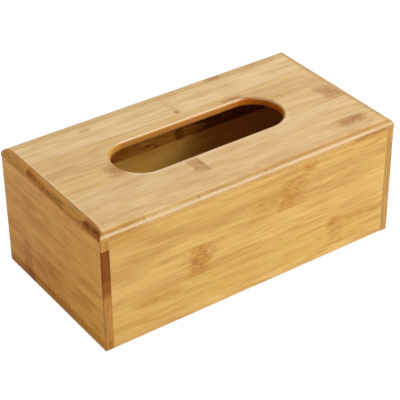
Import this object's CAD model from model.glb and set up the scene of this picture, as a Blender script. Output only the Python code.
"""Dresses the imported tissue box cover: lacquered bamboo strips, eased arrises, studio light, camera."""
import math
from typing import NamedTuple

import bmesh
import bpy
from mathutils import Matrix, Vector


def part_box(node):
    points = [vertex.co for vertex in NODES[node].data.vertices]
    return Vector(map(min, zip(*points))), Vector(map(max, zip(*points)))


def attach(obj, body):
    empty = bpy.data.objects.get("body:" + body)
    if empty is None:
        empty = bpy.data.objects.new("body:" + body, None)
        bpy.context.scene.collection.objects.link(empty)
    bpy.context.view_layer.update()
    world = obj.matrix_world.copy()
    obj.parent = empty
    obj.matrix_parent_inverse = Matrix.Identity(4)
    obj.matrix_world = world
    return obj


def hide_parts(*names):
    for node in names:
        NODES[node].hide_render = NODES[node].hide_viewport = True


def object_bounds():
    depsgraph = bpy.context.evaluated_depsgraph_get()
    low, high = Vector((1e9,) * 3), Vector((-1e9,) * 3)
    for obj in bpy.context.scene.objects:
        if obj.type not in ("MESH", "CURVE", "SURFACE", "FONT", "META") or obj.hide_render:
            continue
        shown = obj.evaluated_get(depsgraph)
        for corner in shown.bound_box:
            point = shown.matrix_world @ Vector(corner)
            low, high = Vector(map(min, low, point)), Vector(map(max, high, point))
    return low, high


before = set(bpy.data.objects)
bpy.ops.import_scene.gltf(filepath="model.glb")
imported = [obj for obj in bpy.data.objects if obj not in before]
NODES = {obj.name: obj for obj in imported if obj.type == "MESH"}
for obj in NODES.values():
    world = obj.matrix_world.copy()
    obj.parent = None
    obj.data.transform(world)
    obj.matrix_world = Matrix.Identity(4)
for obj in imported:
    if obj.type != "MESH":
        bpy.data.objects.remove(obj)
cad_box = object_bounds()


# Sizes and places

MM = 0.001
AXES = "xyz"
X, Y, Z = range(3)

LEFT_X, FRONT_Y, _ = cad_box[0]
RIGHT_X, BACK_Y, _ = cad_box[1]
# Height of the seam under the top board
SEAM_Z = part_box("top_strip_2")[0][Z]

# In mm: radius of the top's rounded edge, and length, width and middle of the slot
EDGE_R = 5.3
SLOT_LENGTH = 141
SLOT_WIDTH = 44
SLOT_X = -1.4
# Radius of the slot's round ends, and how far their middles lie from the slot's
SLOT_R = SLOT_WIDTH / 2
SLOT_RUN = SLOT_LENGTH / 2 - SLOT_R
# Where the slot's right arc starts, and where the top's roundings start at its two ends
RIGHT_ARC_X = SLOT_X + SLOT_RUN
LEFT_CREASE_X = LEFT_X / MM + EDGE_R
RIGHT_CREASE_X = RIGHT_X / MM - EDGE_R

# Radii of the eased arrises in mm: upright corners, foot, seam under the top board, slot's lower edge
OUTER = 0.9
FOOT = 0.6
SEAM = 0.25
SLOT_UNDER = 2.2

ROUNDED_STRIPS = ("top_strip_1", "top_strip_6")
SLOT_STRIPS = ("top_strip_2", "top_strip_3_left", "top_strip_3_right", "top_strip_4")


def board_of(name):
    """The board that a strip belongs to."""
    return name.split("_")[0]


# Camera

def make_camera():
    """The photograph's own view: place, turn and lens were fitted to the box's edges."""
    place = Vector((-499.25, -716.39, 623.57)) * MM
    azimuth, elevation, roll = (math.radians(a) for a in (34.829, 33.815, -0.534))
    focal_px, image_px = 1433.3, 400
    ahead = Vector((math.sin(azimuth) * math.cos(elevation),
                    math.cos(azimuth) * math.cos(elevation),
                    -math.sin(elevation)))
    right = Vector((math.cos(azimuth), -math.sin(azimuth), 0))
    up = right.cross(ahead)
    rolled_right = right * math.cos(roll) + up * math.sin(roll)
    rolled_up = up * math.cos(roll) - right * math.sin(roll)
    turn = Matrix((rolled_right, rolled_up, -ahead)).transposed().to_4x4()

    data = bpy.data.cameras.new("camera")
    data.sensor_fit = "HORIZONTAL"
    data.sensor_width = 36
    data.lens = data.sensor_width * focal_px / image_px
    data.clip_start, data.clip_end = 0.01, 50
    camera = bpy.data.objects.new("camera", data)
    camera.matrix_world = Matrix.Translation(place) @ turn
    bpy.context.scene.collection.objects.link(camera)
    bpy.context.scene.camera = camera


# Node wiring

# How far apart the noise of two seeds lies along each axis
SEED_STEPS = (7.31, 3.77, 5.19)


class Wires:
    """Adds nodes to one tree and joins them up, so that a material reads like a formula."""

    def __init__(self, tree):
        self.tree = tree

    def add(self, kind, inputs=None, **settings):
        node = self.tree.nodes.new(kind)
        for name, value in settings.items():
            setattr(node, name, value)
        for name, value in (inputs or {}).items():
            self.feed(node.inputs[name], value)
        return node

    def feed(self, socket, value):
        if isinstance(value, bpy.types.NodeSocket):
            self.tree.links.new(value, socket)
        else:
            socket.default_value = value

    def group(self, tree, inputs):
        """A node group in this tree: gives its outputs."""
        return self.add("ShaderNodeGroup", inputs, node_tree=tree).outputs

    def math(self, operation, *values):
        return self.add("ShaderNodeMath", dict(enumerate(values)), operation=operation).outputs[0]

    def chain(self, operation, values):
        result = values[0]
        for value in values[1:]:
            result = self.math(operation, result, value)
        return result

    def total(self, *values):
        return self.chain("ADD", values)

    def product(self, *values):
        return self.chain("MULTIPLY", values)

    def minus(self, value, taken):
        return self.math("SUBTRACT", value, taken)

    def size(self, value):
        return self.math("ABSOLUTE", value)

    def split(self, vector):
        return self.add("ShaderNodeSeparateXYZ", {0: vector}).outputs

    def join(self, x, y, z):
        return self.add("ShaderNodeCombineXYZ", {0: x, 1: y, 2: z}).outputs[0]

    def stretched(self, place, seed, along, across):
        """Noise coordinates: one unit is along mm with the fibres and across mm over them."""
        units = (along, across, across)
        return self.join(*(self.math("MULTIPLY_ADD", part, 1 / unit, self.product(seed, step))
                           for part, unit, step in zip(self.split(place), units, SEED_STEPS)))

    def noise(self, place, detail=2, roughness=0.5):
        return self.add("ShaderNodeTexNoise", {"Vector": place, "Scale": 1.0, "Detail": detail,
                                               "Roughness": roughness, "Distortion": 0.0}).outputs[0]

    def cloud(self, place, seed, along, across, detail=2, roughness=0.5):
        """Noise with patches about along mm long and across mm wide."""
        return self.noise(self.stretched(place, seed, along, across), detail, roughness)

    def swing(self, value, reach):
        """Noise about 0 instead of 0.5, times reach."""
        return self.product(self.minus(value, 0.5), reach)

    def ramp(self, value, low, high, to_low=0.0, to_high=1.0):
        """A smooth step from to_low at low to to_high at high."""
        node = self.add("ShaderNodeMapRange", {0: value, 1: low, 2: high, 3: to_low, 4: to_high},
                        interpolation_type="SMOOTHSTEP")
        return node.outputs[0]

    def band(self, value, start, full, waning, end):
        """1 from full to waning, falling away smoothly to 0 at start and at end."""
        return self.product(self.ramp(value, start, full), self.ramp(value, end, waning))

    def bell(self, value, half):
        """1 where value is 0, falling away smoothly on both sides over about half."""
        share = self.math("DIVIDE", value, half)
        return self.math("EXPONENT", self.product(share, share, -1.0))

    def mix(self, share, first, second, blend="MIX"):
        node = self.add("ShaderNodeMix", {0: share, 6: first, 7: second},
                        data_type="RGBA", blend_type=blend)
        return node.outputs[2]

    def between(self, share, first, second):
        """A mix of two display colours."""
        return self.mix(share, linear(*first), linear(*second))


def make_group(name, inputs, outputs, fill):
    """A node group: fill(wires, inputs by name) gives its outputs by name."""
    tree = bpy.data.node_groups.new(name, "ShaderNodeTree")
    for label, kind in inputs.items():
        tree.interface.new_socket(name=label, in_out="INPUT", socket_type=kind)
    for label in outputs:
        tree.interface.new_socket(name=label, in_out="OUTPUT", socket_type="NodeSocketFloat")
    wires = Wires(tree)
    source = wires.add("NodeGroupInput")
    wires.add("NodeGroupOutput", fill(wires, source.outputs))
    return tree


def empty_material(name):
    """A material whose node tree is still bare."""
    material = bpy.data.materials.new(name)
    material.use_nodes = True
    material.node_tree.nodes.clear()
    return material


def linear(red, green, blue):
    """A display colour from 0 to 255 as the scene-linear colour that shaders take."""
    def channel(value):
        value /= 255
        return value / 12.92 if value <= 0.04045 else ((value + 0.055) / 1.055) ** 2.4
    return (channel(red), channel(green), channel(blue), 1.0)


# Light and floor

WHITE = (1, 1, 1, 1)
# How strongly the sky lights the box, where 1 is the white that the camera sees
SKY = 0.52


class Lamp(NamedTuple):
    """A softbox: where it stands, seen from the box, its width and height in m, the light that it throws
    on a face turned to it as a share of plain daylight, and its use: light, if it lights the bamboo, or
    mirror, if it is there for the lacquer to mirror."""
    toward: tuple
    size: tuple
    share: float
    use: str


LAMPS = {
    "softbox_key": Lamp((0.6, -0.527, 0.602), (0.9, 0.35), 0.47, "light"),
    "softbox_low": Lamp((0.43, -0.87, 0.24), (0.9, 0.9), 0.29, "light"),
    "softbox_back": Lamp((0.474, 0.682, 0.556), (1.0, 1.0), 0.1, "light"),
    "softbox_left": Lamp((-0.85, -0.3, 0.43), (1.0, 1.0), 0.06, "light"),
    "striplight": Lamp((0.511, -0.831, 0.219), (1.5, 0.5), 0.1, "mirror"),
}
# How far the lamps stand from the place that they are turned to, in m, and that place
LAMP_DISTANCE = 1.7
LAMP_AIM = Vector((0, 0, 0.05))

# The floor's half side and its drop below the box, in m. Then its grey, the glow of its white, and how
# much of what the camera sees is that white.
FLOOR_HALF = 4.0
FLOOR_DROP = 0.0001
FLOOR_GREY = 0.75
FLOOR_GLOW = 1.08
FLOOR_WHITE = 0.9


def backdrop_rays(wires):
    """1 for the rays that see the backdrop itself, 0 for the rays that it lights the box with."""
    path = wires.add("ShaderNodeLightPath")
    return wires.math("MAXIMUM", path.outputs["Is Camera Ray"], path.outputs["Is Transmission Ray"])


def make_sky():
    """Even light from all round, and white behind everything."""
    world = bpy.data.worlds.new("studio")
    bpy.context.scene.world = world
    world.use_nodes = True
    world.node_tree.nodes.clear()
    wires = Wires(world.node_tree)
    seen = backdrop_rays(wires)
    glow = wires.add("ShaderNodeBackground", {"Color": WHITE, "Strength": SKY})
    white = wires.add("ShaderNodeBackground", {"Color": WHITE, "Strength": 1.0})
    mixed = wires.add("ShaderNodeMixShader", {0: seen, 1: glow.outputs[0], 2: white.outputs[0]})
    wires.add("ShaderNodeOutputWorld", {"Surface": mixed.outputs[0]})


def make_lamp(name, lamp):
    """One softbox, turned to the box."""
    toward = Vector(lamp.toward).normalized()
    data = bpy.data.lights.new(name, "AREA")
    data.shape = "RECTANGLE"
    data.size, data.size_y = lamp.size
    # An area lamp of P watts sends P / (pi d d) straight ahead, and daylight at 1 sends pi
    data.energy = lamp.share * (math.pi * LAMP_DISTANCE) ** 2
    softbox = bpy.data.objects.new(name, data)
    softbox.location = LAMP_AIM + toward * LAMP_DISTANCE
    softbox.rotation_euler = (-toward).to_track_quat("-Z", "Y").to_euler()
    softbox.visible_glossy = lamp.use == "mirror"
    softbox.visible_diffuse = lamp.use == "light"
    bpy.context.scene.collection.objects.link(softbox)


def floor_material():
    """Matt pale grey for the light and the shadow, and nearly white for the camera."""
    material = empty_material("floor_white")
    wires = Wires(material.node_tree)
    matt = wires.add("ShaderNodeBsdfDiffuse", {"Color": (FLOOR_GREY, FLOOR_GREY, FLOOR_GREY, 1)})
    white = wires.add("ShaderNodeEmission", {"Color": WHITE, "Strength": FLOOR_GLOW})
    share = wires.product(backdrop_rays(wires), FLOOR_WHITE)
    mixed = wires.add("ShaderNodeMixShader", {0: share, 1: matt.outputs[0], 2: white.outputs[0]})
    wires.add("ShaderNodeOutputMaterial", {"Surface": mixed.outputs[0]})
    return material


def make_floor():
    """The plain floor under the box."""
    mesh = bpy.data.meshes.new("floor")
    shape = bmesh.new()
    bmesh.ops.create_grid(shape, x_segments=1, y_segments=1, size=FLOOR_HALF)
    shape.to_mesh(mesh)
    shape.free()
    mesh.materials.append(floor_material())
    floor = bpy.data.objects.new("floor", mesh)
    floor.location.z = -FLOOR_DROP
    bpy.context.scene.collection.objects.link(floor)


def make_studio():
    """Sky, lamps and floor, at a level at which a colour renders about as it is written."""
    bpy.context.scene.view_settings.view_transform = "Standard"
    make_sky()
    for name, lamp in LAMPS.items():
        make_lamp(name, lamp)
    make_floor()


# Grain, node marks and cut ends

class Mark(NamedTuple):
    """A node mark: its place along the fibres and half its length in mm, the shares of its soft stain,
    its flecks, its flames and its ring, and its place over the fibres and half its width in mm."""
    along: float
    half: float
    stain: float
    flecks: float = 0.0
    flames: float = 0.0
    ring: float = 0.0
    across: float = 0.0
    side: float = 200.0


class Grain(NamedTuple):
    """The shares of broad, fine, spindle and mottled grain in a board's faces."""
    broad: float
    fine: float
    streaks: float
    mottle: float


def socket_values(values):
    """A mark's or a grain's values by the names of their group's inputs."""
    return {field.capitalize(): value for field, value in values._asdict().items()}


def socket_kinds(*fields):
    """The inputs of a group: a place, a seed, and a number for each field."""
    numbers = ["Seed"] + [field.capitalize() for field in fields]
    return {"Place": "NodeSocketVector", **dict.fromkeys(numbers, "NodeSocketFloat")}


# Noise in the grain: its length along the fibres and its width over them in mm, detail and roughness.
# The first kinds lie straight, and the others follow the fibres where these bend.
STRAIGHT_NOISE = {
    "drift": (90, 16, 1, 0.5),
    "clusters": (60, 8.0, 1, 0.5),
    "lively": (110, 13, 1, 0.5),
}
BENT_NOISE = {
    "bands": (260, 7.5, 1, 0.5),
    "veins": (42, 3.6, 2, 0.5),
    "streaks": (48, 1.4, 2, 0.55),
    "fibres": (24, 0.5, 2, 0.6),
    "spindles": (30, 2.0, 1, 0.5),
    "dashes": (15, 0.36, 1, 0.5),
    "mottle": (26, 8.0, 3, 0.6),
}
# Kinds that come out of their noise in a smooth step: its start and end, and what it leads from and to
GRAIN_STEPS = {
    "clusters": (0.4, 0.62),
    "lively": (0.36, 0.62, 0.35, 1.25),
    "spindles": (0.54, 0.76),
    "dashes": (0.56, 0.7),
}
# Kinds that make the tone swing about its middle, and how far
GRAIN_SWINGS = {"bands": 0.9, "veins": 1.7, "streaks": 0.6, "fibres": 0.55, "mottle": 1.6}
MIDDLE_TONE = 0.55
# How far in mm the fibres drift to the side, how dark spindles are, and how deep dashes lie
DRIFT = 3.0
SPINDLE_DARKNESS = 0.6
DASH_DEPTH = 0.6

# The same for the noise in a node mark. The first kinds lie straight, and the others swirl with it.
STRAIGHT_MARK_NOISE = {
    "wobble": (60, 5.5, 2, 0.5),
    "swirl": (9, 6.0, 1, 0.5),
}
SWIRLED_MARK_NOISE = {
    "blots": (9, 3.0, 2, 0.5),
    "flecks": (5.0, 1.3, 2, 0.55),
    "flames": (22, 1.5, 1, 0.5),
}
MARK_STEPS = {"blots": (0.3, 0.65), "flecks": (0.5, 0.64), "flames": (0.52, 0.7)}
# Shares of a mark's half length: how far its outline wobbles, where it ends and is full, how far its
# swirl reaches, and where its ring starts, is full, wanes and ends
WOBBLE = 1.2
MARK_EDGE = (1.25, 0.5)
SWIRL_REACH = 1.5
RING = (0.1, 0.95, 0.95, 1.12)
# How far in mm a mark pushes the fibres aside, how fast its flames fade, and its stain between blots
SWIRL = 5.0
FLAME_FADING = 0.42
LEAST_STAIN = 0.4

# In cut ends: length and height of the layers and size of the fine grain in mm, and how far both swing
# the tone. Then how many pores lie side by side in a mm, and how far from its middle, as a share of the
# room between them, a pore ends and is full.
LAYER_LENGTH = 22.0
LAYER_HEIGHT = 1.5
FINE_SIZE = 0.7
LAYER_SWING = 2.0
FINE_SWING = 0.4
PORES_PER_MM = 1.5
PORE_EDGE = (0.42, 0.16)
# A length along the fibres over which the noise doesn't change
ENDLESS = 100000


def pushed(wires, place, push):
    """A place moved sideways off its fibre."""
    x, y, z = wires.split(place)
    return wires.join(x, wires.total(y, push), wires.total(z, push))


def clouds(wires, place, seed, kinds):
    """The noise of every kind in one of the tables above."""
    return {kind: wires.cloud(place, seed, *sizes) for kind, sizes in kinds.items()}


def fill_grain(wires, given):
    """Fibre bundles of a flat strip. Place is in mm, with X along the fibres."""
    place, seed = given["Place"], given["Seed"]
    straight = clouds(wires, place, seed, STRAIGHT_NOISE)
    push = wires.math("MULTIPLY_ADD", straight["drift"], DRIFT, given["Bend"])
    noise = {**straight, **clouds(wires, pushed(wires, place, push), seed, BENT_NOISE)}
    step = {kind: wires.ramp(noise[kind], *limits) for kind, limits in GRAIN_STEPS.items()}
    swing = {kind: wires.swing(noise[kind], reach) for kind, reach in GRAIN_SWINGS.items()}

    dashes = wires.product(step["dashes"], step["clusters"])
    broad = wires.total(swing["bands"], wires.product(swing["veins"], step["lively"]))
    fine = wires.product(wires.total(swing["streaks"], swing["fibres"]), step["lively"])
    spindles = wires.product(step["spindles"], step["clusters"], -SPINDLE_DARKNESS)
    tone = wires.total(wires.product(broad, given["Broad"]),
                       wires.product(fine, given["Fine"]),
                       wires.product(spindles, given["Streaks"]),
                       wires.product(swing["mottle"], given["Mottle"]),
                       MIDDLE_TONE)
    relief = wires.math("MULTIPLY_ADD", dashes, -DASH_DEPTH, noise["fibres"])
    return {"Tone": tone, "Dashes": dashes, "Relief": relief}


def fill_mark(wires, given):
    """The scar that a culm's node leaves across a strip: a soft stain, and flecks, flames and a ring."""
    place, seed, half = given["Place"], given["Seed"], given["Half"]
    x, y, _ = wires.split(place)
    noise = clouds(wires, place, seed, STRAIGHT_MARK_NOISE)
    straight = wires.minus(x, given["Along"])
    off = wires.math("MULTIPLY_ADD", wires.swing(noise["wobble"], WOBBLE), half, straight)
    within = wires.math("DIVIDE", wires.size(off), half)
    side = wires.bell(wires.minus(y, given["Across"]), given["Side"])
    patch = wires.product(wires.ramp(within, *MARK_EDGE), side)

    near = wires.product(wires.bell(off, wires.product(half, SWIRL_REACH)), side)
    swirl = wires.product(wires.swing(noise["swirl"], SWIRL), near)
    noise = clouds(wires, pushed(wires, place, swirl), seed, SWIRLED_MARK_NOISE)
    step = {kind: wires.ramp(noise[kind], *limits) for kind, limits in MARK_STEPS.items()}

    stain = wires.math("MULTIPLY_ADD", step["blots"], 1 - LEAST_STAIN, LEAST_STAIN)
    fading = wires.math("EXPONENT", wires.product(within, -FLAME_FADING))
    # The ring itself: the mark ends sharply on its right
    ring = wires.band(wires.math("DIVIDE", straight, half), *RING)
    sharp = wires.total(wires.product(step["flecks"], patch, given["Flecks"]),
                        wires.product(step["flames"], fading, side, given["Flames"]),
                        wires.product(ring, side, given["Ring"]))
    return {"Soft": wires.product(stain, patch, given["Stain"]), "Sharp": sharp, "Bend": swirl}


def fill_ends(wires, given):
    """Cut ends of the fibre bundles: dark pores, and darker layers that run over the strip's width."""
    place, seed = given["Place"], given["Seed"]
    _, y, z = wires.split(place)
    spots = wires.stretched(place, seed, ENDLESS, 1.0)
    pores = wires.add("ShaderNodeTexVoronoi", {"Vector": spots, "Scale": PORES_PER_MM, "Randomness": 0.9},
                      voronoi_dimensions="3D", feature="F1").outputs["Distance"]
    layered = wires.join(wires.product(seed, SEED_STEPS[X]),
                         wires.math("MULTIPLY_ADD", y, 1 / LAYER_LENGTH, seed),
                         wires.product(z, 1 / LAYER_HEIGHT))
    layers = wires.swing(wires.noise(layered, 3, 0.6), LAYER_SWING)
    fine = wires.swing(wires.cloud(place, seed, ENDLESS, FINE_SIZE), FINE_SWING)
    return {"Tone": wires.total(layers, fine, 0.5), "Pores": wires.ramp(pores, *PORE_EDGE)}


GRAIN = make_group("bamboo_grain", socket_kinds("bend", *Grain._fields),
                   ("Tone", "Dashes", "Relief"), fill_grain)
MARK = make_group("bamboo_node_mark", socket_kinds(*Mark._fields), ("Soft", "Sharp", "Bend"), fill_mark)
ENDS = make_group("bamboo_end_grain", socket_kinds(), ("Tone", "Pores"), fill_ends)


# Looks of the boards

class Look(NamedTuple):
    """Display colours of bamboo: light and dark wood, fibres, and the stain and flecks of its node marks."""
    light: tuple
    dark: tuple
    fibre: tuple
    stain: tuple
    fleck: tuple


# The top, the front and back, the ends, the back's reddish strip and the one under it seen from inside,
# the right end and the base
TOP = Look((240, 205, 147), (217, 171, 109), (194, 140, 80), (188, 131, 74), (152, 96, 46))
SIDE = Look((222, 180, 97), (197, 146, 67), (182, 126, 46), (194, 134, 40), (168, 104, 24))
END = Look((238, 172, 70), (212, 139, 38), (182, 108, 20), (192, 106, 4), (156, 78, 2))
RED = Look((255, 186, 80), (230, 144, 46), (184, 106, 28), (96, 38, 6), (84, 30, 6))
LIT = Look((255, 216, 108), (250, 178, 72), (230, 152, 52), (214, 142, 58), (140, 80, 20))
RIGHT = Look((228, 182, 100), (200, 146, 64), (172, 114, 44), (176, 116, 46), (148, 90, 30))
BASE = Look((206, 154, 78), (180, 126, 54), (152, 98, 38), (164, 106, 44), (130, 76, 26))


class Board(NamedTuple):
    """What the strips of one board share: the record's material slot, which of the box's axes run along
    the fibres, over the strip's width and through the board, how far in mm the fibres swing to the side,
    the look and grain of its faces, the colour of its cut ends and how strongly layers show in them, and
    the gloss and the least roughness of its lacquer."""
    slot: str
    axes: str
    wave: float
    look: Look
    grain: Grain
    cut: tuple
    layering: float
    gloss: float
    matt: float


SIDE_BOARD = Board("side_bamboo", "xzy", 2.2, SIDE, Grain(0.85, 0.42, 0.35, 0.3),
                   cut=(188, 136, 68), layering=1.0, gloss=0.5, matt=0.24)
BOARDS = {
    "top": Board("top_bamboo", "xyz", 1.6, TOP, Grain(0.62, 0.24, 0.15, 0.55),
                 cut=(190, 122, 38), layering=0.9, gloss=0.5, matt=0.2),
    "front": SIDE_BOARD,
    "back": SIDE_BOARD,
    "left": Board("end_bamboo", "yzx", 6.0, END, Grain(0.75, 0.3, 0.12, 1.0),
                  cut=(189, 133, 60), layering=0.4, gloss=0.4, matt=0.3),
    "right": Board("end_bamboo", "yzx", 4.0, RIGHT, Grain(1.0, 0.5, 0.3, 0.5),
                   cut=(194, 148, 80), layering=0.5, gloss=0.45, matt=0.28),
    "base": Board("base_bamboo", "xyz", 1.0, BASE, Grain(0.9, 0.5, 0.3, 0.5),
                  cut=(182, 132, 68), layering=1.0, gloss=0.4, matt=0.32),
    "pull": Board("pull_bamboo", "yzx", 2.0, END, Grain(0.9, 0.35, 0.3, 0.9),
                  cut=(164, 104, 44), layering=0.5, gloss=0.3, matt=0.36),
}


class Tone(NamedTuple):
    """How a strip departs from its board's look: its share of the light, how much redder and paler it is,
    and the colour of its own cut ends."""
    share: float
    redder: float = 0.0
    paler: float = 0.0
    cut: tuple = None


TONES = {
    "top_strip_1": Tone(0.995, 0.0, -0.02, (190, 118, 34)),
    "top_strip_2": Tone(0.99, 0.0, 0.0, (213, 146, 64)),
    "top_strip_3_left": Tone(0.978, 0.003, -0.07, (210, 142, 58)),
    "top_strip_3_right": Tone(0.99, 0.003, -0.01, (190, 120, 40)),
    "top_strip_4": Tone(0.958, 0.017, -0.05, (214, 144, 52)),
    "top_strip_5": Tone(1.03, -0.014, 0.02, (216, 151, 68)),
    "top_strip_6": Tone(0.948, 0.012, -0.06, (222, 157, 76)),
    "front_strip_1": Tone(1.01, -0.01, 0.05),
    "front_strip_2": Tone(0.98, 0.0, -0.04),
    "front_strip_3": Tone(1.0, 0.0, 0.03),
    "front_strip_4": Tone(0.982),
    "front_strip_5": Tone(0.988, 0.002),
    "left_end_strip_1": Tone(0.975, 0.01, -0.06, (189, 133, 66)),
    "left_end_strip_2": Tone(1.0, 0.0, 0.0, (189, 133, 66)),
    "left_end_strip_3": Tone(0.99, 0.0, -0.04, (137, 78, 22)),
    "left_end_strip_4": Tone(1.02, 0.0, 0.05, (196, 142, 70)),
    "pull_strip": Tone(0.86, 0.04, -0.2, (184, 124, 56)),
}
# The other strips step through this many shares of the light, from the least one on
LEAST_SHARE = 0.975
SHARE_STEP = 0.011
SHARE_COUNT = 6

# Strips that look otherwise on the inner face of their board, and how far their node marks show outside
INNER = {"back_strip_4": RED, "back_strip_3": LIT}
OUTWARD_MARKS = 0.4
# The light and the dark layers of a cut end, as shares of its colour
CUT_LIGHT = 1.1
CUT_DARK = 0.78
# The tones of the grain at which the colour is the dark and the light one
TONE_RANGE = (0.1, 0.9)
# How well dashes, node marks at their strongest, pores and scorches cover what is under them
DASH_COVER = 0.35
MARK_COVER = 0.9
PORE_COVER = 0.25
SCORCH_COVER = 0.9
# How far along the fibres a surface faces where cut ends start to show, and where nothing else shows
CUT_TURN = (0.02, 0.1)
# How far to the back a surface faces where the inner look starts to show, and where it alone shows
INWARD_TURN = (0.3, -0.3)
# The noise that bends the fibres of a whole strip: its length and width in mm, and its detail
BENDING = (34, 11, 1)

# In mm: the front board's face, the seam under the top board, and nicks along the top's front edge
FRONT_FACE = FRONT_Y / MM
SEAM_LINE = SEAM_Z / MM
NICKS = (-90.3, -46.2, 9.7)
MARKS = {
    "top_strip_1": [Mark(99, 13, 0.95, 0.5, 0.3, across=-48.5, side=5.5),
                    Mark(106, 20, 1.1, 0.5, across=FRONT_FACE, side=0.24),
                    *(Mark(along, 0.9, 1.2, across=FRONT_FACE + 1.3, side=0.8) for along in NICKS),
                    Mark(-112, 24, 0.7, across=FRONT_FACE + 0.6, side=3.6),
                    Mark(50, 80, 0.3, across=FRONT_FACE + 5, side=4)],
    "top_strip_2": [Mark(-26, 5, 0.8, 0.25, 0.1, 0.6, -33.5, 10)],
    "top_strip_3_left": [Mark(-75, 8, 1.1, 0.12, 0.1, across=-6, side=9)],
    "top_strip_3_right": [Mark(111.5, 8, 0.85, 0.25, 0.1, 0.15, -7, 12)],
    "top_strip_4": [Mark(47, 10, 1.0, 0.6, 0.1, across=25.9, side=2.4)],
    "top_strip_5": [Mark(3, 2.6, 0.12, 0.15, 0.06, 0.06),
                    Mark(3, 2.4, 0.8, 0.1, across=34, side=2.4),
                    Mark(-66, 5, 0.6, 0.2, 0.1, across=51.5, side=2.5)],
    "top_strip_6": [Mark(52, 7, 0.7, 0.3, 0.1, across=60, side=3),
                    Mark(85, 40, 0.35, across=60.5, side=5)],
    "front_strip_5": [Mark(48, 7, 0.85, 0.5, 0.2, across=84, side=6),
                      Mark(98, 22, 0.95, 0.3, across=SEAM_LINE - 0.3, side=1.3),
                      Mark(0, 150, 0.8, across=SEAM_LINE + 0.3, side=1.2),
                      Mark(-112, 22, 0.65, 0.0, 0.1, across=SEAM_LINE - 3, side=4)],
    "front_strip_4": [Mark(34, 13, 0.7, 0.55, 0.3),
                      Mark(14, 20, 0.5, 0.15, 0.3, across=66, side=8)],
    "front_strip_3": [Mark(-48, 7.5, 0.55, 0.75, 0.4),
                      Mark(-46, 14, 0.35, 0.4, 0.5, across=45, side=12)],
    "front_strip_2": [Mark(74, 7, 0.4, 0.4, 0.2),
                      Mark(70, 6, 0.8, 0.4, across=27.5, side=3.5),
                      Mark(98, 21, 0.7, 0.15, across=25, side=4.5),
                      Mark(-81, 21, 0.75, 0.1, 0.2, across=26.5, side=3.4)],
    "back_strip_4": [Mark(22, 4, 0.7, 0.8, 0.4, 0.3),
                     Mark(-30, 40, 0.2, 0.1, 0.8),
                     Mark(74, 42, 0.9),
                     Mark(82, 46, 0.9)],
    "back_strip_3": [Mark(86, 46, 0.9),
                     Mark(92, 48, 0.9)],
    "back_strip_2": [Mark(44, 6, 0.5, 0.7, 0.3)],
    "left_end_strip_1": [Mark(38, 6, 0.5, 0.6, 0.3),
                         Mark(12, 16, 0.12, 0.1, 0.15)],
    "left_end_strip_3": [Mark(15, 32, 0.6, 0.1, across=58.2, side=1.2)],
    "left_end_strip_4": [Mark(12, 2.2, 0.7, 0.4, across=85, side=1.6)],
    "pull_strip": [Mark(36, 8, 0.8, 0.8, 0.3)],
}
# How far apart the seeds of a strip's marks lie
MARK_STEP = 0.37


class Vein(NamedTuple):
    """A dark layer in the cut ends of a top strip. In mm: its height over the seam under the top board at
    the middle of the box, its rise over the width, and half its thickness."""
    height: float
    rise: float
    half: float
    colour: tuple


VEINS = {
    "top_strip_1": Vein(3.6, -0.015, 1.7, (132, 67, 9)),
    "top_strip_3_left": Vein(2.5, 0.069, 1.3, (156, 86, 18)),
    "top_strip_4": Vein(2.5, 0.069, 1.5, (156, 86, 18)),
}
# How far in mm a vein wanders, and its share where it is palest. The strips share the seeds of both, so
# that a vein runs on from one strip into the next.
VEIN_WANDER = 1.6
PALEST_VEIN = 0.45
WANDER_SEED = 3.0
PALENESS_SEED = 5.0
# Scorched cut ends: their colour, and the heights in mm where scorching starts and where it is full. Its
# border is frayed by this many mm.
SCORCHES = {"left_end_strip_2": ((137, 78, 22), 41, 50)}
FRAYING = 6


def toned(look, tone):
    """The same bamboo a little lighter or darker, redder or greener, and paler or deeper."""
    tint = (1 + tone.redder, 1, (1 - tone.redder) * (1 + tone.paler))
    return Look(*(tuple(min(c * tone.share * t, 255) for c, t in zip(colour, tint)) for colour in look))


def shaded(colour, share):
    """A display colour, lighter or darker."""
    return tuple(c * share for c in colour)


# Painting a strip

class Strip(Wires):
    """The surface of one strip: the box's x, y and z of its points in mm and of the way they face, its
    grain, its node marks and the grain of its cut ends."""

    def __init__(self, name, seed, tree):
        super().__init__(tree)
        self.name = name
        self.seed = seed
        self.board = BOARDS[board_of(name)]
        coordinates = self.add("ShaderNodeTexCoord")
        in_metres = self.split(coordinates.outputs["Object"])
        self.at = {axis: self.product(part, 1 / MM) for axis, part in zip(AXES, in_metres)}
        self.facing = dict(zip(AXES, self.split(coordinates.outputs["Normal"])))
        self.place = self.join(*(self.at[axis] for axis in self.board.axes))
        # 1 where the fibres are cut across, 0 on the faces along them
        self.cut = self.ramp(self.size(self.facing[self.board.axes[0]]), *CUT_TURN)
        self.uncut = self.minus(1.0, self.cut)
        where = {"Place": self.place, "Seed": seed}
        self.marks, bend = self.add_marks(MARKS.get(name, ()))
        self.grain = self.group(GRAIN, {**where, "Bend": bend, **socket_values(self.board.grain)})
        self.ends = self.group(ENDS, where)

    def add_marks(self, marks):
        """How strongly soft and sharp parts of node marks show, and how far the fibres bend."""
        bend = self.swing(self.patches(*BENDING), self.board.wave)
        soft, sharp = 0.0, 0.0
        for number, mark in enumerate(marks):
            seed = self.seed + MARK_STEP * number
            node = self.group(MARK, {"Place": self.place, "Seed": seed, **socket_values(mark)})
            soft = self.total(soft, node["Soft"])
            sharp = self.total(sharp, node["Sharp"])
            bend = self.total(bend, node["Bend"])
        shown = (soft, sharp) if marks else ()
        return shown, bend

    def patches(self, along, across, detail=2, roughness=0.5, seed=None):
        """Noise over the strip, which has the strip's own seed if none is given."""
        return self.cloud(self.place, seed or self.seed, along, across, detail, roughness)


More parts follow.
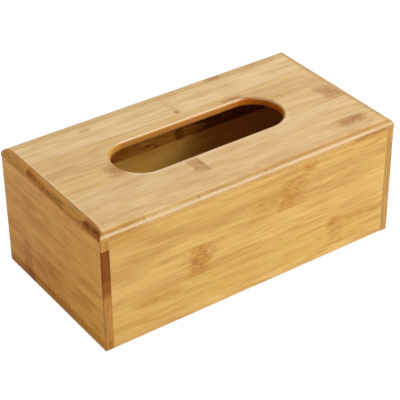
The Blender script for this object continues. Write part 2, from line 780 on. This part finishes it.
class Coat:
    """A colour that is laid on in layers."""

    def __init__(self, wires, colour):
        self.wires = wires
        self.colour = colour

    def paint(self, share, colour):
        """Covers what is there with a display colour, or with a socket's, as far as share says."""
        over = colour if isinstance(colour, bpy.types.NodeSocket) else linear(*colour)
        self.colour = self.wires.mix(share, self.colour, over)

    def tint(self, share, tint):
        """Multiplies what is there by tint, as far as share says."""
        tinted = self.wires.mix(1.0, self.colour, tint, "MULTIPLY")
        self.colour = self.wires.mix(share, self.colour, tinted)


def face_colour(strip, look, marked):
    """Grain and node marks of the strip's faces. Marks show as far as marked says."""
    tone = strip.ramp(strip.grain["Tone"], *TONE_RANGE)
    coat = Coat(strip, strip.between(tone, look.dark, look.light))
    coat.paint(strip.product(strip.grain["Dashes"], DASH_COVER), look.fibre)
    for strength, colour in zip(strip.marks, (look.stain, look.fleck)):
        coat.paint(strip.math("MINIMUM", strip.product(strength, marked), MARK_COVER), colour)
    return coat.colour


def paint_glue(strip, coat, colour):
    """A hair of glue shows along the strip's two long edges."""
    hair, cover = 0.4, 0.25
    axis = strip.board.axes[1]
    low, high = (corner[AXES.index(axis)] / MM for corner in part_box(strip.name))
    middle, half = (low + high) / 2, (high - low) / 2
    out = strip.size(strip.minus(strip.at[axis], middle))
    coat.paint(strip.ramp(out, half - hair, half, 0.0, cover), colour)


GATHERED = (186, 144, 90)
POLISHED = (238, 204, 156)


def paint_creases(strip, coat):
    """The lacquer gathers before the top's right rounding, and is polished where the left one starts."""
    x = strip.at["x"]
    gathers_from, gathers_to, cover = RIGHT_CREASE_X - 2.5, RIGHT_CREASE_X - 0.1, 0.4
    coat.paint(strip.ramp(x, gathers_from, gathers_to, 0.0, cover), GATHERED)
    line_x, line_half, line_cover = LEFT_CREASE_X + 0.6, 0.5, 0.5
    coat.paint(strip.product(strip.bell(strip.minus(x, line_x), line_half), line_cover), POLISHED)


# Cut ends of the top: the upper part that the sander opens, the line where it ends at the crease, and at
# the box's right end the dark and light layers and the upper part
SANDED = (206, 155, 86)
CREASED = (184, 124, 62)
RIGHT_CUT_DARK = (164, 122, 62)
RIGHT_CUT_LIGHT = (206, 168, 104)
RIGHT_CUT_SANDED = (202, 162, 102)
# How far up the rounding faces where these start, are full, wane and end, and how well they cover
SANDED_UP = (0.6, 0.9, 0.95, 0.985)
CREASED_UP = (0.955, 0.98, 0.995, 1.0)
SANDED_COVER = 0.7


def paint_sanded(strip, coat):
    """The sander opens and lightens the rounded upper part of the top's ends, up to the crease."""
    for reach, colour in ((SANDED_UP, SANDED), (CREASED_UP, CREASED)):
        coat.paint(strip.product(strip.band(strip.facing["z"], *reach), SANDED_COVER), colour)


def paint_vein(strip, coat, vein):
    """One of the strip's layers is dark, and wanders a little."""
    over_seam = strip.minus(strip.at["z"], SEAM_LINE + vein.height)
    off = strip.math("MULTIPLY_ADD", strip.at["y"], -vein.rise, over_seam)
    off = strip.total(off, strip.swing(strip.patches(9, 9, seed=WANDER_SEED), VEIN_WANDER))
    patchy = strip.ramp(strip.patches(6, 4, seed=PALENESS_SEED), 0.36, 0.62, PALEST_VEIN, 1.0)
    coat.paint(strip.product(strip.bell(off, vein.half), patchy), vein.colour)


def paint_right_end(strip, coat, layers):
    """The top's right end is paler throughout."""
    upper = strip.ramp(strip.facing["z"], 0.3, 0.7)
    rightward = strip.ramp(strip.facing["x"], 0.0, 0.2, 0.0, 0.9)
    paler = Coat(strip, strip.between(layers, RIGHT_CUT_DARK, RIGHT_CUT_LIGHT))
    paler.paint(upper, RIGHT_CUT_SANDED)
    coat.paint(rightward, paler.colour)


def paint_scorch(strip, coat, colour, start, full):
    """The strip's cut ends are scorched towards its upper edge."""
    frayed = strip.total(strip.at["z"], strip.swing(strip.ends["Tone"], FRAYING))
    coat.paint(strip.ramp(frayed, start, full, 0.0, SCORCH_COVER), colour)


def end_colour(strip, cut):
    """The strip's cut ends: layers and pores, and what time and tools did to them."""
    layers = strip.math("MULTIPLY_ADD", strip.minus(strip.ends["Tone"], 0.5), strip.board.layering, 0.5)
    layers = strip.ramp(layers, *TONE_RANGE)
    coat = Coat(strip, strip.between(layers, shaded(cut, CUT_DARK), shaded(cut, CUT_LIGHT)))
    if board_of(strip.name) == "top":
        paint_sanded(strip, coat)
        if strip.name in VEINS:
            paint_vein(strip, coat, VEINS[strip.name])
        paint_right_end(strip, coat, layers)
    coat.paint(strip.product(strip.ends["Pores"], PORE_COVER), shaded(cut, CUT_DARK))
    if strip.name in SCORCHES:
        paint_scorch(strip, coat, *SCORCHES[strip.name])
    return coat.colour


# The slot

# Colours of its wall at the left and at the right of its straight sides, round its left and its right
# arc, and of the stains on it. Then of the eased edge, of that edge round the left arc, of the blotch and
# the edge beyond it round the right arc, and of the hair in front.
WALL_LEFT = (196, 122, 34)
WALL_RIGHT = (206, 120, 28)
WALL_LEFT_ARC = (206, 144, 50)
WALL_RIGHT_ARC = (206, 106, 18)
WALL_STAIN = (168, 62, 10)
RIM = (246, 215, 170)
RIM_LEFT_ARC = (208, 154, 78)
BLOTCH = (168, 80, 14)
RIM_RIGHT_ARC = (168, 108, 60)
HAIR = (246, 216, 184)
# How far up the eased edge faces where these start, are full, wane and end
RIM_UP = (0.5, 0.72, 0.95, 0.99)
RIM_LEFT_ARC_UP = (0.3, 0.6, 0.99, 1.0)
# How far in mm the colour of the slot reaches beyond its two ends
SLOT_MARGIN = 3
# How far to the side the wall faces where the colour of an arc starts and is full
ARC_TURN = (0.04, 0.3)
# In mm: half the middle stretch over which the wall's colour changes, where the stains start and are full
# before the right arc, where the blotch lies past the arc's start and half its length, where the edge
# beyond it starts and is full, and where the blotch's border ends and is full
WALL_CHANGE = 30
STAIN_START, STAIN_FULL = 11.1, 1.1
BLOTCH_X, BLOTCH_HALF = 10.1, 4.6
BEYOND_START, BEYOND_FULL = 11.4, 15.4
BORDER_END, BORDER_FULL = 3.4, 0.5
# In mm: how far behind the middle of the box the blotch starts and is full, and the same for the hair in
# front of it
BLOTCH_Y = (2, 8)
HAIR_Y = (-8, -18)
# In mm: how far from the slot's wall the hair lies, and half its width
HAIR_REACH, HAIR_HALF = 2.7, 1.0
# Size of the stains on the wall in mm, and their shares far from the right arc and near it
STAIN_SIZE = 5
STAIN_SHARES = (0.12, 0.7)


def near_slot(strip):
    """1 in the slot and on its rim, 0 farther along the top."""
    out = strip.size(strip.minus(strip.at["x"], SLOT_X))
    return strip.math("LESS_THAN", out, SLOT_RUN + SLOT_R + SLOT_MARGIN)


def slot_reach(strip):
    """How far in mm a place lies from the line between the slot's arcs: SLOT_R on its wall."""
    beside = strip.minus(strip.size(strip.minus(strip.at["x"], SLOT_X)), SLOT_RUN)
    beside = strip.math("MAXIMUM", beside, 0.0)
    y = strip.at["y"]
    return strip.math("SQRT", strip.total(strip.product(beside, beside), strip.product(y, y)))


def wall_colour(strip, cut):
    """The slot's wall is redder towards the right arc, and stained there."""
    x, out = strip.at["x"], strip.facing["x"]
    coat = Coat(strip, strip.between(strip.ramp(x, -WALL_CHANGE, WALL_CHANGE), WALL_LEFT, WALL_RIGHT))
    for side, colour in ((1, WALL_LEFT_ARC), (-1, WALL_RIGHT_ARC)):
        coat.paint(strip.ramp(out, *(side * turn for turn in ARC_TURN)), colour)
    dark_layers = strip.ramp(strip.grain["Tone"], 0.0, 1.0, 0.3, 0.0)
    coat.paint(dark_layers, shaded(cut, CUT_DARK))
    stains = strip.ramp(strip.patches(STAIN_SIZE, STAIN_SIZE), 0.5, 0.66)
    stained = strip.ramp(x, RIGHT_ARC_X - STAIN_START, RIGHT_ARC_X - STAIN_FULL, *STAIN_SHARES)
    coat.paint(strip.product(stains, stained), WALL_STAIN)
    return coat.colour


def paint_rim(strip, coat, near):
    """The slot's eased edge is pale where it faces the front, and darker round the left arc."""
    up, back, out = strip.facing["z"], strip.facing["y"], strip.facing["x"]
    pale = strip.ramp(back, 0.05, -0.3, 0.15, 0.8)
    coat.paint(strip.product(near, strip.band(up, *RIM_UP), pale), RIM)
    on_left_arc = strip.ramp(out, 0.03, 0.25)
    frontward = strip.ramp(back, 0.1, -0.1, 0.0, 0.9)
    dark = strip.product(near, strip.band(up, *RIM_LEFT_ARC_UP), on_left_arc, frontward)
    coat.paint(dark, RIM_LEFT_ARC)


def paint_right_arc(strip, coat, near, reach):
    """A reddish blotch where the right arc's back half starts, and a tan rim beyond it."""
    x = strip.at["x"]
    behind = strip.ramp(strip.at["y"], *BLOTCH_Y)
    above = strip.ramp(strip.facing["z"], 0.1, 0.5)
    border = strip.ramp(reach, SLOT_R + BORDER_END, SLOT_R + BORDER_FULL)
    on_rim = strip.product(near, behind, above, border)
    blotch = strip.bell(strip.minus(x, RIGHT_ARC_X + BLOTCH_X), BLOTCH_HALF)
    coat.paint(strip.product(on_rim, blotch, 0.9), BLOTCH)
    beyond = strip.ramp(x, RIGHT_ARC_X + BEYOND_START, RIGHT_ARC_X + BEYOND_FULL)
    coat.paint(strip.product(on_rim, beyond, 0.6), RIM_RIGHT_ARC)


def paint_hair(strip, coat, reach):
    """A pale hair runs along the flat top in front of the slot."""
    hair = strip.bell(strip.minus(reach, SLOT_R + HAIR_REACH), HAIR_HALF)
    in_front = strip.ramp(strip.at["y"], *HAIR_Y, 0.0, 0.5)
    flat = strip.ramp(strip.facing["z"], 0.9, 0.99)
    coat.paint(strip.product(hair, in_front, flat), HAIR)


def paint_slot(strip, coat, cut):
    """The slot's wall, its eased edge and the top close round it."""
    near, reach = near_slot(strip), slot_reach(strip)
    upright = strip.ramp(strip.size(strip.facing["z"]), 0.8, 0.35)
    coat.paint(strip.product(near, upright, 0.85), wall_colour(strip, cut))
    paint_rim(strip, coat, near)
    paint_right_arc(strip, coat, near, reach)
    paint_hair(strip, coat, reach)


# The rounded long edges

# What the thicker lacquer leaves of red, green and blue at the top and at the foot of the rounding, what
# its amber leaves near the left end, and the display colour of the worn crest
THICK_LACQUER = (0.7, 0.64, 0.49, 1)
THICK_LACQUER_LOW = (0.81, 0.765, 0.56, 1)
AMBER = (1.04, 0.96, 0.62, 1)
WORN = (216, 186, 146)
# How far sideways the rounding faces where the crest starts, is full, wanes and ends
CREST_SIDEWAYS = (0.72, 0.86, 0.93, 0.993)
# In mm along the box: where the amber starts and is full, and where the crest starts to fade and is faint
AMBER_X = (-86, -104)
CREST_X = (80, 115)


def paint_worn_edge(strip, coat):
    """The long edges of the top were rubbed down by hand, and the lacquer lies thicker there."""
    x, edge_on = strip.at["x"], strip.size(strip.facing["y"])
    rubbed = strip.product(strip.ramp(edge_on, 0.3, 0.54), strip.uncut)
    low = strip.ramp(edge_on, 0.72, 0.96)
    coat.tint(rubbed, strip.mix(low, THICK_LACQUER, THICK_LACQUER_LOW))
    coat.tint(strip.product(rubbed, strip.ramp(x, *AMBER_X)), AMBER)
    crest = strip.product(strip.band(edge_on, *CREST_SIDEWAYS), strip.uncut)
    patchy = strip.ramp(strip.patches(9, 60, 2, 0.6), 0.3, 0.6, 0.6, 0.9)
    fading = strip.ramp(x, *CREST_X, 1.0, 0.6)
    coat.paint(strip.product(crest, patchy, fading), WORN)


# Lacquer

CUT_ROUGHNESS = 0.46
CUT_GLOSS = 0.12
# What the relief of the fibres adds to the roughness, its depth in m, and how strongly it shows
RELIEF_ROUGHNESS = 0.14
RELIEF_DEPTH = 0.06 * MM
RELIEF_STRENGTH = 0.3


def lacquer(strip, colour):
    """The shader: satin lacquer over the relief of the fibres, rougher on the cut ends."""
    relief = strip.grain["Relief"]
    roughness = strip.math("MULTIPLY_ADD", relief, RELIEF_ROUGHNESS, strip.board.matt)
    roughness = strip.ramp(strip.cut, 0.0, 1.0, roughness, CUT_ROUGHNESS)
    bump = strip.add("ShaderNodeBump", {"Strength": RELIEF_STRENGTH, "Distance": RELIEF_DEPTH,
                                        "Height": strip.product(relief, strip.uncut)})
    shader = strip.add("ShaderNodeBsdfPrincipled", {
        "Base Color": colour, "Roughness": roughness, "Normal": bump.outputs[0],
        "Specular IOR Level": strip.board.gloss})
    strip.add("ShaderNodeOutputMaterial", {"Surface": shader.outputs[0]})


def dulled(material):
    """The same bamboo for cut ends, which drink the lacquer and shine less."""
    dull = material.copy()
    dull.name = material.name + "_cut"
    for node in dull.node_tree.nodes:
        if node.type == "BSDF_PRINCIPLED":
            node.inputs["Specular IOR Level"].default_value = CUT_GLOSS
    return dull


def bamboo(name, seed):
    """One strip's own lacquered bamboo: the materials of its faces and of its cut ends."""
    material = empty_material("bamboo_" + name)
    strip = Strip(name, seed, material.node_tree)
    tone = TONES.get(name, Tone(LEAST_SHARE + SHARE_STEP * (seed % SHARE_COUNT)))
    look, cut = toned(strip.board.look, tone), tone.cut or strip.board.cut
    coat = Coat(strip, face_colour(strip, look, OUTWARD_MARKS if name in INNER else 1.0))
    if name in INNER:
        inward = strip.ramp(strip.facing["y"], *INWARD_TURN)
        coat.paint(inward, face_colour(strip, INNER[name], 1.0))
    paint_glue(strip, coat, look.fibre)
    if board_of(name) == "top":
        paint_creases(strip, coat)
    coat.paint(strip.cut, end_colour(strip, cut))
    if name in SLOT_STRIPS:
        paint_slot(strip, coat, cut)
    if name in ROUNDED_STRIPS:
        paint_worn_edge(strip, coat)
    lacquer(strip, coat.colour)
    return material, dulled(material)


# Eased arrises

# Two places closer than this are the same, and the slot's outline may be this far off its arcs, in m
SMALL = 1e-5
SLOT_SLACK = 4e-5
# Faces meet in an arris from this angle on, and are one flat face below the other, in degrees
ARRIS_ANGLE = 30
FLAT_ANGLE = 0.2
# Facets in the round of an eased arris
ARRIS_FACETS = 5
# Corner normals are shared by faces whose own differ by less than this cosine's angle
SHARED_COSINE = 0.88
# A face belongs to the cut ends where its normal lies along the fibres by more than this
CUT_FACE = 0.12


def at(*spots):
    """A test for the vertices at every given place: pairs of an axis and a coordinate."""
    return lambda vertex: all(abs(vertex.co[axis] - place) < SMALL for axis, place in spots)


def on_slot(vertex):
    """Whether a vertex lies on the slot's outline in the underside of the top board."""
    x, y, z = vertex.co
    reach = math.hypot(max(abs(x - SLOT_X * MM) - SLOT_RUN * MM, 0.0), y)
    return abs(z - SEAM_Z) < SMALL and abs(reach - SLOT_R * MM) < SLOT_SLACK


def top_arrises():
    """The seam under the top board all round, and the slot's lower edge."""
    outline = ((X, LEFT_X), (X, RIGHT_X), (Y, FRONT_Y), (Y, BACK_Y))
    return [(SEAM, at(side, (Z, SEAM_Z))) for side in outline] + [(SLOT_UNDER, on_slot)]


def wall_arrises(name, axis, place):
    """A wall strip's outer arrises: at the box's upright corners, along its foot if it stands on the
    ground or just clears it, and along the seam if it reaches up to it."""
    bottom, top = (corner[Z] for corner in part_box(name))
    arrises = []
    if axis == X:
        arrises += [(OUTER, at((X, place), (Y, corner))) for corner in (FRONT_Y, BACK_Y)]
    if bottom < FOOT * MM:
        arrises.append((FOOT, at((axis, place), (Z, bottom))))
    if abs(top - SEAM_Z) < SMALL:
        arrises.append((SEAM, at((axis, place), (Z, SEAM_Z))))
    return arrises


# Where the outer face of each wall's strips lies
WALLS = {
    "left": (X, LEFT_X),
    "pull": (X, LEFT_X),
    "right": (X, RIGHT_X),
    "front": (Y, FRONT_Y),
    "back": (Y, BACK_Y),
}


def arrises_of(name):
    """Which arrises of a strip are eased: pairs of a radius in mm and a test for the vertices on it."""
    board = board_of(name)
    if board == "top":
        return top_arrises()
    return wall_arrises(name, *WALLS[board]) if board in WALLS else []


def harden(mesh):
    """Corner normals that keep the flat faces flat and turn only over the rounded arrises."""
    mesh.update()
    around = {}
    for face in mesh.polygons:
        for vertex in face.vertices:
            around.setdefault(vertex, []).append(face)
    normals = []
    for face in mesh.polygons:
        for vertex in face.vertices:
            near = [f for f in around[vertex] if f.normal.dot(face.normal) > SHARED_COSINE]
            normals.append(sum((f.normal * f.area for f in near), Vector()).normalized())
    for face in mesh.polygons:
        face.use_smooth = True
    mesh.normals_split_custom_set(normals)


def eased_mesh(name, arrises):
    """The mesh of a strip's CAD node, with the given arrises rounded."""
    shape = bmesh.new()
    shape.from_mesh(NODES[name].data)
    bmesh.ops.remove_doubles(shape, verts=shape.verts, dist=SMALL)
    bmesh.ops.dissolve_limit(shape, angle_limit=math.radians(FLAT_ANGLE),
                             verts=shape.verts, edges=shape.edges)
    for radius, test in arrises:
        edges = [e for e in shape.edges if all(test(v) for v in e.verts)
                 and e.calc_face_angle(0) > math.radians(ARRIS_ANGLE)]
        bmesh.ops.bevel(shape, geom=edges, offset=radius * MM, segments=ARRIS_FACETS, profile=0.5,
                        affect="EDGES")
    mesh = bpy.data.meshes.new(name + "_eased")
    shape.to_mesh(mesh)
    shape.free()
    harden(mesh)
    return mesh


def ease(name, arrises):
    """A piece like the strip's CAD node, with the given arrises rounded, that stands for it."""
    board = BOARDS[board_of(name)]
    mesh = eased_mesh(name, arrises)
    fibres = AXES.index(board.axes[0])
    for face in mesh.polygons:
        face.material_index = int(abs(face.normal[fibres]) > CUT_FACE)
    piece = bpy.data.objects.new(name + "_eased", mesh)
    bpy.context.scene.collection.objects.link(piece)
    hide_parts(name)
    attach(piece, "sliding_base" if name == "pull_strip" else "cover")
    return piece


# The box

FIRST_SEED = 3


def dress(name, seed):
    """Gives a strip its eased arrises, where it has any, and its bamboo."""
    arrises = arrises_of(name)
    materials = bamboo(name, seed)
    if arrises:
        piece = ease(name, arrises)
        for material in materials:
            piece.data.materials.append(material)
    else:
        for material_slot in NODES[name].material_slots:
            material_slot.material = materials[0]


make_camera()
make_studio()
for seed, name in enumerate(sorted(NODES), start=FIRST_SEED):
    dress(name, seed)
